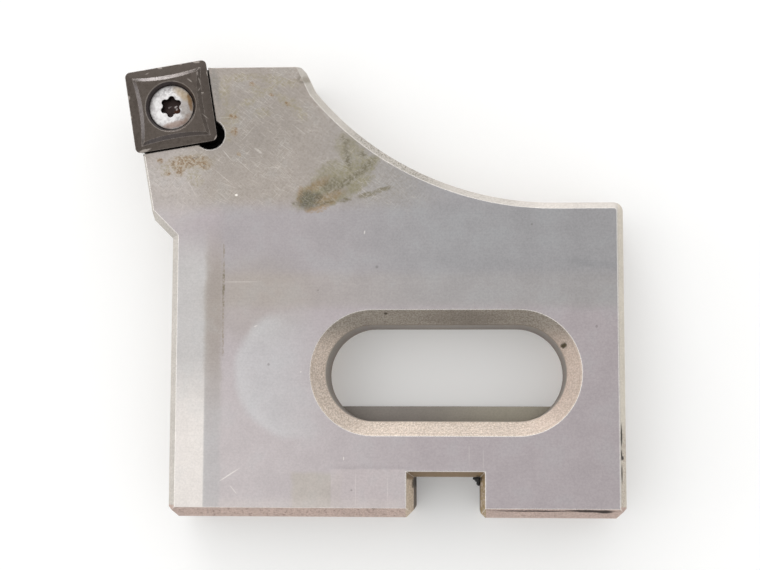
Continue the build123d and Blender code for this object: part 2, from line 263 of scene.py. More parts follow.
def body_chart(tree):
    """Places and noises that all the body's tones share."""
    place = in_millimetres(tree)
    lay_place = in_millimetres(tree, stretch=(0.12, 5.5, 0.0))
    feed_place = in_millimetres(tree, stretch=(0.1, 0.1, 5.0))
    # Grain of about 0.25 mm, drawn coarser than the real grit so that it shows, and broader clouds
    grain, cloud, speckle, sand = (
        add(tree, "ShaderNodeTexNoise", {
            "Vector": place, "Scale": scale, "Detail": detail, "Roughness": roughness,
        })
        for scale, detail, roughness in (
            (3.6, 3.0, 0.65), (0.22, 3.0, 0.55), (2.2, 4.0, 0.7), (4.2, 4.0, 0.72),
        )
    )
    lay = add(tree, "ShaderNodeTexNoise", {"Vector": lay_place, "Scale": 1.0, "Detail": 2.0})
    feed = add(tree, "ShaderNodeTexNoise", {"Vector": feed_place, "Scale": 1.0, "Detail": 3.0})
    x, y, z = add(tree, "ShaderNodeSeparateXYZ", {0: place}, out=(0, 1, 2))
    return SimpleNamespace(
        x=x, y=y, z=z, across=(x, y),
        grain=grain, cloud=cloud, speckle=speckle, sand=sand, lay=lay, feed=feed,
        wavy=ragged(tree, place, (x, y), 2.5, 0.25),
        torn=ragged(tree, place, (x, y), 1.4, 0.45),
        frayed=ragged(tree, place, (x, y), 0.6, 0.12),
        nibbled=ragged(tree, place, (x, y), 0.4, 0.04),
        patchy=add(tree, "ShaderNodeMapRange", {0: speckle, 1: 0.36, 2: 0.62}, **SMOOTH),
        grains=add(tree, "ShaderNodeMapRange", {0: speckle, 1: 0.47, 2: 0.58}, **SMOOTH),
        sandy=add(tree, "ShaderNodeMapRange", {0: sand, 1: 0.34, 2: 0.66}, **SMOOTH),
    )


def face_tones(tree, at):
    """Colour of the ground faces: even grey, browner on the head, painted paler towards the lower left and
    darker towards the upper right as a painted sheen and shade of the light.
    """
    above = add(tree, "ShaderNodeMapRange", {0: at.y, **HEAD_RISE}, **SMOOTH)
    left = add(tree, "ShaderNodeMapRange", {0: at.x, **HEAD_SIDE}, **SMOOTH)
    colour = paint(tree, linear("#aaa2a4"), "#a39b94", above, left)
    # Painted sheen: the face is painted paler towards the lower left, where it catches more light
    low = add(tree, "ShaderNodeMapRange", {0: at.y, 1: 16.0, 2: -14.0}, **SMOOTH)
    far_left = add(tree, "ShaderNodeMapRange", {0: at.x, 1: 2.0, 2: -34.0}, **SMOOTH)
    colour = paint(tree, colour, "#bbb4b4", low, far_left, amount=0.8)
    for low_corner, high_corner, soft, tint, amount in FACE_FIELDS:
        edge = at.wavy if soft > 0.2 else at.nibbled
        colour = paint(tree, colour, tint, field(tree, edge, low_corner, high_corner, soft), amount=amount)
    # The band that a stop rubbed pale along the left side, and the browner strip beside it
    upper = add(tree, "ShaderNodeMapRange", {0: at.y, 1: -12.0, 2: 5.0}, **SMOOTH)
    not_highest = add(tree, "ShaderNodeMapRange", {0: at.y, 1: 24.0, 2: 15.0}, **SMOOTH)
    band = field(tree, at.wavy, (FACE_LEFT, FACE_BOTTOM), (-35.9, 24.0), 1.3)
    colour = paint(tree, colour, "#bab8b6", not_highest, band, amount=0.8)
    strip = field(tree, at.wavy, (-36.3, FACE_BOTTOM), (-33.8, 24.0), 1.0)
    strip_tone = paint(tree, linear("#acaaaa"), "#9c948b", upper)
    colour = paint(tree, colour, strip_tone, not_highest, strip, amount=0.6)
    brown = oval(tree, at.torn, (-28.5, 11.0), (5.5, 4.5), 0, 0.9)
    colour = paint(tree, colour, "#a0988d", not_highest, brown, amount=0.35)
    dull = oval(tree, at.torn, (-34.8, 9.0), (1.2, 6.0), 0, 0.8)
    colour = paint(tree, colour, "#8a8178", dull, amount=0.18)
    # Painted shade: the face is painted darker towards the upper right, where it catches less light
    right = add(tree, "ShaderNodeMapRange", {0: at.x, 1: -26.0, 2: 4.0}, **SMOOTH)
    for lowest, soft, tint, amount in ((9.8, 3.0, "#9c9c9d", 0.6), (15.0, 3.5, "#929394", 0.32)):
        shade_upper_right = field(tree, at.wavy, (-60.0, lowest), (30.0, 40.0), soft)
        colour = paint(tree, colour, tint, right, shade_upper_right, amount=amount)
    polished = field(tree, at.nibbled, (FACE_LEFT, FACE_BOTTOM), (-36.3, 21.5), 0.3)
    low = add(tree, "ShaderNodeMapRange", {0: at.y, 1: 4.0, 2: -9.0}, **SMOOTH)
    colour = paint(tree, colour, "#dbd5d0", polished, low, amount=0.88)
    # A round washer's rub mark beside the slot, plainer at its rim
    beside = add(tree, "ShaderNodeMapRange", {0: at.x, 1: -16.0, 2: -27.0}, **SMOOTH)
    washer = oval(tree, at.wavy, (-21.7, 0.0), (9.9, 9.9), soft=0.08)
    not_top = add(tree, "ShaderNodeMapRange", {0: at.y, 1: 10.5, 2: 6.5}, **SMOOTH)
    colour = paint(tree, colour, "#bbbcbd", washer, beside, not_top, amount=0.48)
    inner = oval(tree, at.wavy, (-21.4, 0.0), (8.6, 8.6), soft=0.12)
    rim = add(tree, "ShaderNodeMath", {0: 1.0, 1: inner}, **MINUS)
    colour = paint(tree, colour, "#cccbcb", washer, beside, rim, not_top, amount=0.16)
    smear = oval(tree, at.wavy, (22.0, 16.3), (3.4, 0.4), -6, 0.7)
    colour = paint(tree, colour, "#858688", smear, amount=0.22)
    # Duller and paler places of the head, and a painted shadow that the insert casts beside its right edge
    for centre, half, turn, tint, amount in (
        ((-29.5, 38.0), (6.5, 4.5), 20, "#8f8983", 0.45), ((-42.0, 28.5), (3.5, 4.5), 0, "#b8b1ae", 0.6),
        # Painted shadow of the insert on the face, beside its right edge
        ((-35.2, 44.0), (0.5, 2.0), 9, "#6c6e6e", 0.4),
    ):
        colour = paint(tree, colour, tint, oval(tree, at.torn, centre, half, turn, 0.9), amount=amount)
    bluish = add(tree, "ShaderNodeMapRange", {0: at.cloud, 1: 0.50, 2: 0.64}, **SMOOTH)
    return paint(tree, colour, "#979c9d", bluish, amount=0.12)


def head_wear(tree, at, colour):
    """Colour of the face with the fine scratches of the head laid over it."""
    above = add(tree, "ShaderNodeMapRange", {0: at.y, **HEAD_RISE, 3: 0.1}, **SMOOTH)
    left = add(tree, "ShaderNodeMapRange", {0: at.x, **HEAD_SIDE, 3: 0.1}, **SMOOTH)
    uneven = add(tree, "ShaderNodeMapRange", {0: at.cloud, 1: 0.38, 2: 0.58, 3: 0.3}, **SMOOTH)
    blotchy = add(tree, "ShaderNodeMapRange", {0: at.speckle, 1: 0.46, 2: 0.66}, **SMOOTH)
    colour = paint(tree, colour, "#877f74", blotchy, above, left, amount=0.3)
    for turn, length, width, rarity, tint, amount in [
        (-35, 2.2, 0.18, 0.585, "#8d857c", 0.26), (-42, 2.4, 0.13, 0.600, "#dcd4cb", 0.24),
        (-24, 3.0, 0.14, 0.620, "#dcd4cb", 0.24), (50, 1.8, 0.13, 0.610, "#dcd4cb", 0.2),
        (3, 2.5, 0.13, 0.650, "#dcd4cb", 0.2), (62, 1.6, 0.15, 0.600, "#8d857c", 0.2),
    ]:
        lines = scratches(tree, turn, length, width, rarity, turn)
        colour = paint(tree, colour, tint, lines, above, left, uneven, amount=amount)
    return colour


def face_marks(tree, at, colour):
    """Colour of the face with its stains, rust, nicks and scratches, and where it is dirty."""
    # Each mark is laid over the colour as soon as it is made, which keeps the shader within its stack
    film = ovals(tree, at.torn, STAIN, 0.5)
    lobe = ovals(tree, at.torn, STAIN_LOBE, 0.6)
    lobe = add(tree, "ShaderNodeMath", {0: lobe, 1: 0.75}, **TIMES)
    film = add(tree, "ShaderNodeMath", {0: film, 1: lobe}, **GREATEST)
    uneven = add(tree, "ShaderNodeMapRange", {0: at.speckle, 1: 0.36, 2: 0.60, 3: 0.38}, **SMOOTH)
    colour = paint(tree, colour, "#928c6b", film, uneven, amount=0.85)
    colour = paint(tree, colour, "#927956", ovals(tree, at.torn, STAIN_BROWN, 0.7), uneven, amount=0.72)
    dark = add(tree, "ShaderNodeMapRange", {0: at.sand, 1: 0.62, 2: 0.40, 3: 0.45}, **SMOOTH)
    colour = paint(tree, colour, "#504e40", ovals(tree, at.frayed, STAIN_CORE, 0.6), dark, amount=0.8)
    specks = ovals(tree, at.frayed, STAIN_SPECKS, 0.7)
    colour = paint(tree, colour, "#5a5340", specks, at.patchy, dark, amount=0.8)
    colour = paint(tree, colour, "#6b6448", ovals(tree, at.frayed, STREAKS, 0.8), uneven, amount=0.85)
    colour = paint(tree, colour, "#9a9274", ovals(tree, at.torn, OIL_FILM, 0.8), at.patchy, amount=0.5)
    bloom = ovals(tree, at.frayed, RUST, 0.8)
    colour = paint(tree, colour, "#998665", bloom, amount=0.4)
    colour = paint(tree, colour, "#8c6941", bloom, at.grains, amount=0.75)
    # The oily line that the stop left beside its band
    line = field(tree, at.nibbled, (-33.7, 2.5), (-33.42, 19.5), 0.12)
    colour = paint(tree, colour, "#857c68", line, at.patchy, amount=0.6)
    darkest = oval(tree, at.nibbled, (-33.55, 12.8), (0.17, 2.6), 0, 0.6)
    colour = paint(tree, colour, "#665f48", darkest, at.patchy, amount=0.6)
    # A nick at the head's right corner, in a brown ring
    about_nick = oval(tree, at.frayed, (-21.8, 44.85), (0.75, 0.6), 0, 0.4)
    colour = paint(tree, colour, "#6f675a", about_nick, amount=0.55)
    nick = oval(tree, at.across, (-21.8, 44.85), (0.38, 0.28), 0, 0.5)
    colour = paint(tree, colour, "#b5ada3", nick, amount=0.6)
    colour = paint(tree, colour, "#6e6a68", ovals(tree, at.across, DENTS, 0.4), amount=0.45)
    for centre, half, turn, amount in SCRATCHES:
        colour = paint(tree, colour, "#f4efe8", oval(tree, at.across, centre, half, turn, 0.5), amount=amount)
    dirt = add(tree, "ShaderNodeMath", {0: bloom, 1: at.grains}, **TIMES)
    dirt = add(tree, "ShaderNodeMath", {0: dirt, 1: film}, **GREATEST)
    return colour, dirt


def body_zones(tree, at):
    """Where the flat faces and the walls are (the rest are 45 degree bevels), and where the slot,
    the notch, the hole and the pocket are."""
    normal = add(tree, "ShaderNodeTexCoord", out=1)
    lean = add(tree, "ShaderNodeSeparateXYZ", {0: normal}, out=2)
    lean = add(tree, "ShaderNodeMath", {0: lean}, **SIZE_OF)
    beyond = add(tree, "ShaderNodeMath", {0: at.x}, **SIZE_OF)
    beyond = add(tree, "ShaderNodeMath", {0: beyond, 1: SLOT_HALF_STRAIGHT}, **MINUS)
    beyond = add(tree, "ShaderNodeMath", {0: beyond, 1: 0.0}, **GREATEST)
    reach = add(tree, "ShaderNodeMath", {0: beyond, 1: beyond}, **TIMES)
    reach = add(tree, "ShaderNodeMath", {0: at.y, 1: at.y, 2: reach}, **TIMES_PLUS)
    by_insert = in_millimetres(tree, INSERT_MIDDLE, INSERT_TURN)
    by_insert = add(tree, "ShaderNodeSeparateXYZ", {0: by_insert}, out=(0, 1))
    below = add(tree, "ShaderNodeMapRange", {0: at.z, 1: FACE - 0.05, 2: FACE - 0.15}, **SMOOTH)
    pocket = field(tree, by_insert, (-FAR, -POCKET_WALL), (POCKET_WALL, FAR), 0.04)
    seat_edges = {1: INSERT_SEAT - 0.15, 2: INSERT_SEAT - 0.05}
    above_seat = add(tree, "ShaderNodeMapRange", {0: at.z, **seat_edges}, **SMOOTH)
    pocket = add(tree, "ShaderNodeMath", {0: pocket, 1: above_seat}, **TIMES)
    hole = oval(tree, at.across, RELIEF_HOLE, (RELIEF_HOLE_RADIUS, RELIEF_HOLE_RADIUS), soft=0.02)
    slot_edges = {1: (SLOT_EDGE + 0.08) ** 2, 2: (SLOT_EDGE - 0.02) ** 2}
    return SimpleNamespace(
        flat=add(tree, "ShaderNodeMapRange", {0: lean, 1: 0.95, 2: 0.985}, **SMOOTH),
        wall=add(tree, "ShaderNodeMapRange", {0: lean, 1: 0.5, 2: 0.35}, **SMOOTH),
        below=below,
        slot_reach=reach,
        slot=add(tree, "ShaderNodeMapRange", {0: reach, **slot_edges}, **SMOOTH),
        notch=field(tree, at.across, (-5.97, -24.0), (5.97, -14.6), 0.05),
        by_pocket=field(tree, by_insert, (-FAR, -POCKET_WALL - 0.27), (POCKET_WALL + 0.27, FAR), 0.1),
        pocket=add(tree, "ShaderNodeMath", {0: pocket, 1: below}, **TIMES),
        hole=add(tree, "ShaderNodeMath", {0: hole, 1: below}, **TIMES),
    )


def bevel_tones(tree, at, zone):
    """Colour of the milled bevels: sandy cutter marks, pinkish along the bottom edge, cream in the slot, with
    a painted highlight on the ledge's bevel and a painted shade on the slot's upper bevel.
    """
    colour = paint(tree, linear("#c1bbb4"), "#d2cdc7", at.sandy)
    # Painted highlight: the bevel along the ledge, which faces the light, is painted lighter
    along_ledge = add(tree, "ShaderNodeMapRange", {0: at.x, 1: 9.0, 2: 13.0}, **SMOOTH)
    on_ledge = field(tree, at.across, (0.0, 24.0), (26.2, 27.0), 0.1)
    colour = paint(tree, colour, "#e6dfda", along_ledge, on_ledge, amount=0.35)
    on_right = add(tree, "ShaderNodeMapRange", {0: at.x, 1: 25.85, 2: 25.95}, **SMOOTH)
    colour = paint(tree, colour, "#ddd5c5", on_right, amount=0.5)
    low_edge = add(tree, "ShaderNodeMapRange", {0: at.y, 1: -19.7, 2: -19.9}, **SMOOTH)
    pinkish = paint(tree, linear("#bca99f"), "#d6c3bb", at.sandy)
    colour = paint(tree, colour, pinkish, low_edge)
    dots = add(tree, "ShaderNodeMapRange", {0: at.speckle, 1: 0.54, 2: 0.64}, **SMOOTH)
    few = add(tree, "ShaderNodeMapRange", {0: at.x, 1: 4.0, 2: -4.0, 3: 0.4}, **SMOOTH)
    colour = paint(tree, colour, "#7d675d", low_edge, dots, few, amount=0.55)
    spots = add(tree, "ShaderNodeMapRange", {0: at.sand, 1: 0.49, 2: 0.56}, **SMOOTH)
    for centre, half, turn, tint, amount in (
        ((-8.2, 32.4), (7.0, 3.5), -31, "#615b47", 0.65), ((-20.4, 43.0), (3.4, 2.5), -60, "#8c8674", 0.35),
    ):
        dirty = oval(tree, at.frayed, centre, half, turn, 0.6)
        colour = paint(tree, colour, tint, dirty, spots, amount=amount)
    by_nick = oval(tree, at.frayed, (-21.3, 44.85), (0.55, 0.5), 0, 0.5)
    colour = paint(tree, colour, "#857b6c", by_nick, amount=0.5)
    right_low = add(tree, "ShaderNodeMapRange", {0: at.y, 1: -7.0, 2: -10.0}, **SMOOTH)
    colour = paint(tree, colour, "#93796a", on_right, right_low, spots, amount=0.5)
    front = add(tree, "ShaderNodeMapRange", {0: at.z, 1: 6.0, 2: 8.0}, **SMOOTH)
    colour = paint(tree, colour, "#2e2a2a", front, ovals(tree, at.nibbled, EDGE_GRIME, 0.5), amount=0.9)
    slot = paint(tree, linear("#c8b8a9"), "#f4e9df", at.sandy)
    right = add(tree, "ShaderNodeMapRange", {0: at.x, 1: 8.0, 2: 18.0}, **SMOOTH)
    slot = paint(tree, slot, "#bfaba0", right, amount=0.4)
    # Painted shade: the slot's upper bevel, which faces away from the light, is painted darker
    high = add(tree, "ShaderNodeMapRange", {0: at.y, 1: 3.5, 2: 8.0}, **SMOOTH)
    shaded = paint(tree, linear("#938c83"), "#bab4aa", at.sandy)
    slot = paint(tree, slot, shaded, high, amount=0.9)
    slot = paint(tree, slot, "#7d746b", oval(tree, at.torn, (3.0, 8.3), (4.5, 0.8), 0, 0.8), amount=0.35)
    for radius, half, tint, amount in (
        (SLOT_WALL + 0.04, 0.09, "#66574a", 0.5), (SLOT_EDGE - 0.36, 0.06, "#8d7c6c", 0.4),
    ):
        slot = paint(tree, slot, tint, ring(tree, zone.slot_reach, radius, half), at.sandy, amount=amount)
    for across, centre, half, tint, amount in (
        (at.frayed, (17.7, 4.1), (0.42, 0.36), "#4a4128", 0.9),
        (at.across, (-9.0, 8.9), (0.25, 0.15), "#4e463c", 0.8),
    ):
        dot = oval(tree, across, centre, half, 0, 0.4)
        slot = paint(tree, slot, tint, front, dot, amount=amount)
    return paint(tree, colour, slot, zone.slot)


def wall_tones(tree, at, zone):
    """Colour of the upright walls: feed marks run level along them, and in the slot they are painted darker
    deeper down, a painted shade.
    """
    marks = add(tree, "ShaderNodeMapRange", {0: at.feed, 1: 0.35, 2: 0.65}, **SMOOTH)
    colour = paint(tree, linear("#a49d97"), "#b9b2ab", marks)
    clouds = add(tree, "ShaderNodeMapRange", {0: at.cloud, 1: 0.52, 2: 0.68}, **SMOOTH)
    colour = paint(tree, colour, "#a59a86", clouds, amount=0.4)
    # Painted shade: the slot's walls are painted darker deeper down
    deep = add(tree, "ShaderNodeMapRange", {0: at.z, 1: FACE, 2: 2.0}, **SMOOTH)
    return paint(tree, colour, "#8b8078", deep, zone.slot, amount=0.7)


def notch_tones(tree, at, zone):
    """Colour of the adjusting notch: cream and brown bevels, oily walls and rust in its corners."""
    colour = paint(tree, linear("#b8a896"), "#d8c9b7", at.sandy)
    inner = add(tree, "ShaderNodeMapRange", {0: at.y, 1: -16.1, 2: -15.6}, **SMOOTH)
    colour = paint(tree, colour, "#87745f", inner, amount=0.9)
    right = add(tree, "ShaderNodeMapRange", {0: at.x, 1: 4.6, 2: 5.1}, **SMOOTH)
    colour = paint(tree, colour, "#9c8455", right, at.patchy, amount=0.75)
    colour = paint(tree, colour, "#8a7a62", inner, at.grains, amount=0.6)
    walls = paint(tree, linear("#5f554c"), "#84776a", at.sandy)
    colour = paint(tree, colour, walls, zone.wall, amount=0.95)
    right_corner = oval(tree, at.frayed, (4.9, -15.8), (0.45, 0.45), 0, 0.5)
    colour = paint(tree, colour, "#27211d", right_corner, amount=0.8)
    left_corner = oval(tree, at.frayed, (-4.8, -16.4), (0.2, 0.6), 0, 0.6)
    return paint(tree, colour, "#3a332c", left_corner, amount=0.8)


def make_tool_steel():
    """Hardened tool steel, milled and then ground on its faces. Ground faces look even and satin, with
    faint tone steps where neighbours rubbed them; milled bevels look sandy and a little warmer."""
    material, tree, shader = new_material("ground_tool_steel")
    at = body_chart(tree)
    face, dirt = face_marks(tree, at, face_tones(tree, at))
    face = head_wear(tree, at, face)
    zone = body_zones(tree, at)
    colour = bevel_tones(tree, at, zone)
    colour = paint(tree, colour, wall_tones(tree, at, zone), zone.wall)
    rightwards = add(tree, "ShaderNodeMapRange", {0: at.x, 1: -8.0, 2: 12.0}, **SMOOTH)
    ledge = paint(tree, linear("#847e78"), "#969083", rightwards)
    face = paint(tree, face, ledge, zone.slot)
    colour = paint(tree, colour, face, zone.flat)
    above_floor = add(tree, "ShaderNodeMapRange", {0: at.z, 1: 0.0, 2: 0.05}, **SMOOTH)
    colour = paint(tree, colour, notch_tones(tree, at, zone), zone.notch, zone.below, above_floor)
    # Painted shade with oily dirt: the pocket about the insert and the relief hole are painted near black
    colour = paint(tree, colour, "#1b1817", zone.pocket, amount=0.9)
    colour = paint(tree, colour, "#0b0a09", zone.hole, amount=0.97)

    # Edges are painted as a thin bright line, partly rubbed steel and partly a painted highlight, most of all
    # about the ground face
    soft_edge, edge = edge_wear_and_highlight(tree, 0.18, 0.998, 0.972)
    by_face = add(tree, "ShaderNodeMapRange", {0: at.z, 1: FACE - 0.35, 2: FACE - 0.15, 3: 0.35}, **SMOOTH)
    outside = add(tree, "ShaderNodeMath", {0: 1.0, 1: zone.by_pocket}, **MINUS)
    not_top = add(tree, "ShaderNodeMapRange", {0: at.y, 1: 43.6, 2: 44.6, 3: 1.0, 4: 0.2}, **SMOOTH)
    colour = paint(tree, colour, "#f6f2ed", edge, by_face, outside, not_top, amount=0.85)

    tone = add(tree, "ShaderNodeMapRange", {0: at.grain, 1: 0.25, 2: 0.75, 3: 0.92, 4: 1.08}, **SMOOTH)
    for noise, low, high, weakest, strongest in (
        (at.lay, 0.25, 0.75, 0.985, 1.015), (at.cloud, 0.3, 0.7, 0.96, 1.04),
    ):
        ends = {1: low, 2: high, 3: weakest, 4: strongest}
        part = add(tree, "ShaderNodeMapRange", {0: noise, **ends}, **SMOOTH)
        tone = add(tree, "ShaderNodeMath", {0: tone, 1: part}, **TIMES)
    tone = {0: 1.0, 6: colour, 7: tone}
    colour = add(tree, "ShaderNodeMix", tone, out=2, data_type="RGBA", blend_type="MULTIPLY")

    # Dirt is duller and hides the metal; the pocket and the relief hole, painted dark for their shade and
    # dirt, are duller too
    dirt = add(tree, "ShaderNodeMath", {0: dirt, 1: zone.flat}, **TIMES)
    oily_wall = add(tree, "ShaderNodeMath", {0: zone.notch, 1: zone.wall}, **TIMES)
    for dirty in (zone.pocket, oily_wall, zone.hole):
        dirt = add(tree, "ShaderNodeMath", {0: dirt, 1: dirty}, **GREATEST)
    metallic = add(tree, "ShaderNodeMapRange", {0: dirt, 3: 1.0, 4: 0.35})
    rough = add(tree, "ShaderNodeMapRange", {0: zone.flat, 3: 0.58, 4: 0.40})
    uneven = add(tree, "ShaderNodeMapRange", {0: at.grain, 1: 0.3, 2: 0.7, 3: 0.92, 4: 1.08}, **SMOOTH)
    rough = add(tree, "ShaderNodeMath", {0: rough, 1: uneven}, **TIMES)
    rough = add(tree, "ShaderNodeMix", {0: dirt, 2: rough, 3: 0.75}, data_type="FLOAT")
    rest = add(tree, "ShaderNodeMath", {0: 1.0, 1: zone.flat}, **MINUS)
    height = add(tree, "ShaderNodeMath", {0: at.sand, 1: rest}, **TIMES)
    height = add(tree, "ShaderNodeMath", {0: at.feed, 1: 0.25, 2: height}, **TIMES_PLUS)
    height = add(tree, "ShaderNodeMath", {0: at.grain, 1: 0.06, 2: height}, **TIMES_PLUS)
    bump = add(tree, "ShaderNodeBump", {
        "Strength": 1.0, "Distance": 0.04 * MM, "Height": height, "Normal": soft_edge,
    })
    connect(tree, shader, Base_Color=colour, Metallic=metallic, Roughness=rough, Normal=bump)
    return material


# Marks on the insert, from its middle and along its own sides: middle, half sizes, turn
CHIPS = [
    ((-6.3, 2.4), (0.22, 0.32), 0), ((-0.8, 6.25), (0.35, 0.14), 0), ((-6.3, -0.6), (0.12, 0.2), 0),
    ((4.9, 6.2), (0.5, 0.16), -12), ((2.4, 6.3), (0.18, 0.1), 0), ((-5.0, -6.1), (0.9, 0.2), 8),
    ((6.2, -5.9), (0.5, 0.12), 45), ((6.3, 4.2), (0.1, 0.35), 0),
]
LAND_SCRATCHES = [
    ((4.95, 3.1), (0.06, 0.5), 8), ((4.75, 1.95), (0.3, 0.05), 50), ((5.1, 1.3), (0.18, 0.12), 0),
    ((5.0, -2.4), (0.5, 0.05), -45), ((3.5, 3.5), (0.4, 0.05), -50), ((4.85, 4.4), (0.1, 0.25), 0),
    ((-2.9, 5.75), (0.3, 0.05), 10),
]


def make_coated_carbide():
    """Tungsten carbide with a dark bronze-grey nitride coating. It looks dark and satin, with pale lines
    where the coating has worn off the edges and small chips on the cutting edges. Its sides, its chip
    groove's walls and its countersink carry painted light and shade."""
    material, tree, shader = new_material("coated_carbide")
    own = in_millimetres(tree, INSERT_MIDDLE, INSERT_TURN)
    mottle = add(tree, "ShaderNodeTexNoise", {"Vector": own, "Scale": 1.6, "Detail": 4.0, "Roughness": 0.6})
    fine = add(tree, "ShaderNodeTexNoise", {"Vector": own, "Scale": 9.0, "Detail": 3.0, "Roughness": 0.6})
    x, y, z = add(tree, "ShaderNodeSeparateXYZ", {0: own}, out=(0, 1, 2))
    across = (x, y)
    torn = ragged(tree, own, across, 0.6, 0.12)
    by_top = add(tree, "ShaderNodeMapRange", {0: z, 1: 13.7, 2: 14.1}, **SMOOTH)
    patches = add(tree, "ShaderNodeMapRange", {0: mottle, 1: 0.35, 2: 0.65}, **SMOOTH)
    colour = paint(tree, linear("#49413b"), "#544c46", patches)
    # Painted shade and light: the insert is painted darker towards its right side and lighter towards its top
    # side, as the light falls
    for along, tint, amount in ((x, "#3a332e", 0.5), (y, "#5b534d", 0.4)):
        towards = add(tree, "ShaderNodeMapRange", {0: along, 1: 4.4, 2: 6.0}, **SMOOTH)
        colour = paint(tree, colour, tint, towards, amount=amount)
    flecks = add(tree, "ShaderNodeMapRange", {0: fine, 1: 0.45, 2: 0.75}, **SMOOTH)
    colour = paint(tree, colour, "#5c534c", flecks, amount=0.35)
    soft_edge, edge = edge_wear_and_highlight(tree, 0.14, 0.997, 0.93)
    worn = add(tree, "ShaderNodeMapRange", {0: mottle, 1: 0.35, 2: 0.6, 3: 0.45}, **SMOOTH)
    # The chip groove's walls are painted pale as a painted highlight, most on the sides that turn up and left
    # towards the light
    normal = add(tree, "ShaderNodeTexCoord", out=1)
    lean = add(tree, "ShaderNodeSeparateXYZ", {0: normal}, out=2)
    c, s = cos(radians(INSERT_TURN)), sin(radians(INSERT_TURN))
    on_top = add(tree, "ShaderNodeMapRange", {0: lean, 1: 0.78, 2: 0.84}, **SMOOTH)
    most = add(tree, "ShaderNodeMapRange", {0: x, 1: 4.5, 2: -4.5, 3: 0.35, 4: 1.0}, **SMOOTH)
    for way, tint, amount in (
        ((-s, c, 0.0), "#9d9898", 0.55), ((-c, -s, 0.0), "#6d6868", 0.6), ((s, -c, 0.0), "#605a5b", 0.6),
    ):
        turned = add(tree, "ShaderNodeVectorMath", {0: normal, 1: way}, out=1, **ALONG)
        turned = add(tree, "ShaderNodeMapRange", {0: turned, 1: 0.2, 2: 0.42}, **SMOOTH)
        colour = paint(tree, colour, tint, turned, on_top, most, amount=amount)
    colour = paint(tree, colour, "#a79e98", edge, worn, amount=0.75)
    colour = paint(tree, colour, "#9d958e", by_top, ovals(tree, torn, CHIPS, 0.4), amount=0.85)
    colour = paint(tree, colour, "#a39b94", ovals(tree, torn, LAND_SCRATCHES, 0.6), amount=0.6)
    # Painted shade with some dirt: the countersink is painted dark, where the gap about the screw's head lies
    # in shade
    sink = oval(tree, across, (0, 0), (3.87, 3.87), soft=0.015)
    colour = paint(tree, colour, "#3b3538", sink, amount=0.7)
    # Painted highlight: a glint on the countersink's lower side
    glint = oval(tree, torn, (1.2, -3.2), (2.9, 0.8), 18, 0.5)
    colour = paint(tree, colour, "#a39d98", sink, glint, amount=0.7)
    sink_rim = oval(tree, across, (0, 0), (3.97, 3.97), soft=0.015)
    outside = add(tree, "ShaderNodeMath", {0: 1.0, 1: sink}, **MINUS)
    colour = paint(tree, colour, "#9c948d", sink_rim, outside, amount=0.6)
    rough = add(tree, "ShaderNodeMapRange", {0: mottle, 1: 0.3, 2: 0.7, 3: 0.24, 4: 0.34}, **SMOOTH)
    bump = add(tree, "ShaderNodeBump", {
        "Strength": 0.6, "Distance": 0.012 * MM, "Height": fine, "Normal": soft_edge,
    })
    shader.inputs["Metallic"].default_value = 0.7
    connect(tree, shader, Base_Color=colour, Roughness=rough, Normal=bump)
    return material


# Stains on the screw's head, from its middle: middle, half sizes, turn, softness, colour, amount
HEAD_STAINS = [
    ((2.3, -0.2), (0.8, 1.7), 0, 0.6, "#9d948d", 0.7), ((2.1, 1.7), (1.5, 0.6), -48, 0.6, "#b09a77", 0.65),
    ((3.05, 0.3), (0.3, 1.5), 2, 0.5, "#7d5c30", 0.8), ((0.4, -2.8), (2.2, 0.42), 4, 0.6, "#8f7465", 0.75),
    ((2.2, -2.1), (0.8, 0.35), 40, 0.6, "#8f7a6a", 0.6), ((-2.9, 0.9), (0.3, 0.8), 10, 0.7, "#97918f", 0.4),
]
# Painted glints, which are painted highlights, and a rust spot at the bottom of the socket: middle, half
# sizes, colour, amount
SOCKET_GLINTS = [
    ((0.6, -0.6), (0.4, 0.35), "#43281c", 0.9), ((0.45, 0.1), (0.22, 0.12), "#b8b0ae", 0.9),
    ((-0.4, 0.3), (0.25, 0.1), "#8a8080", 0.8), ((0.5, -0.25), (0.14, 0.1), "#a39b9a", 0.8),
]


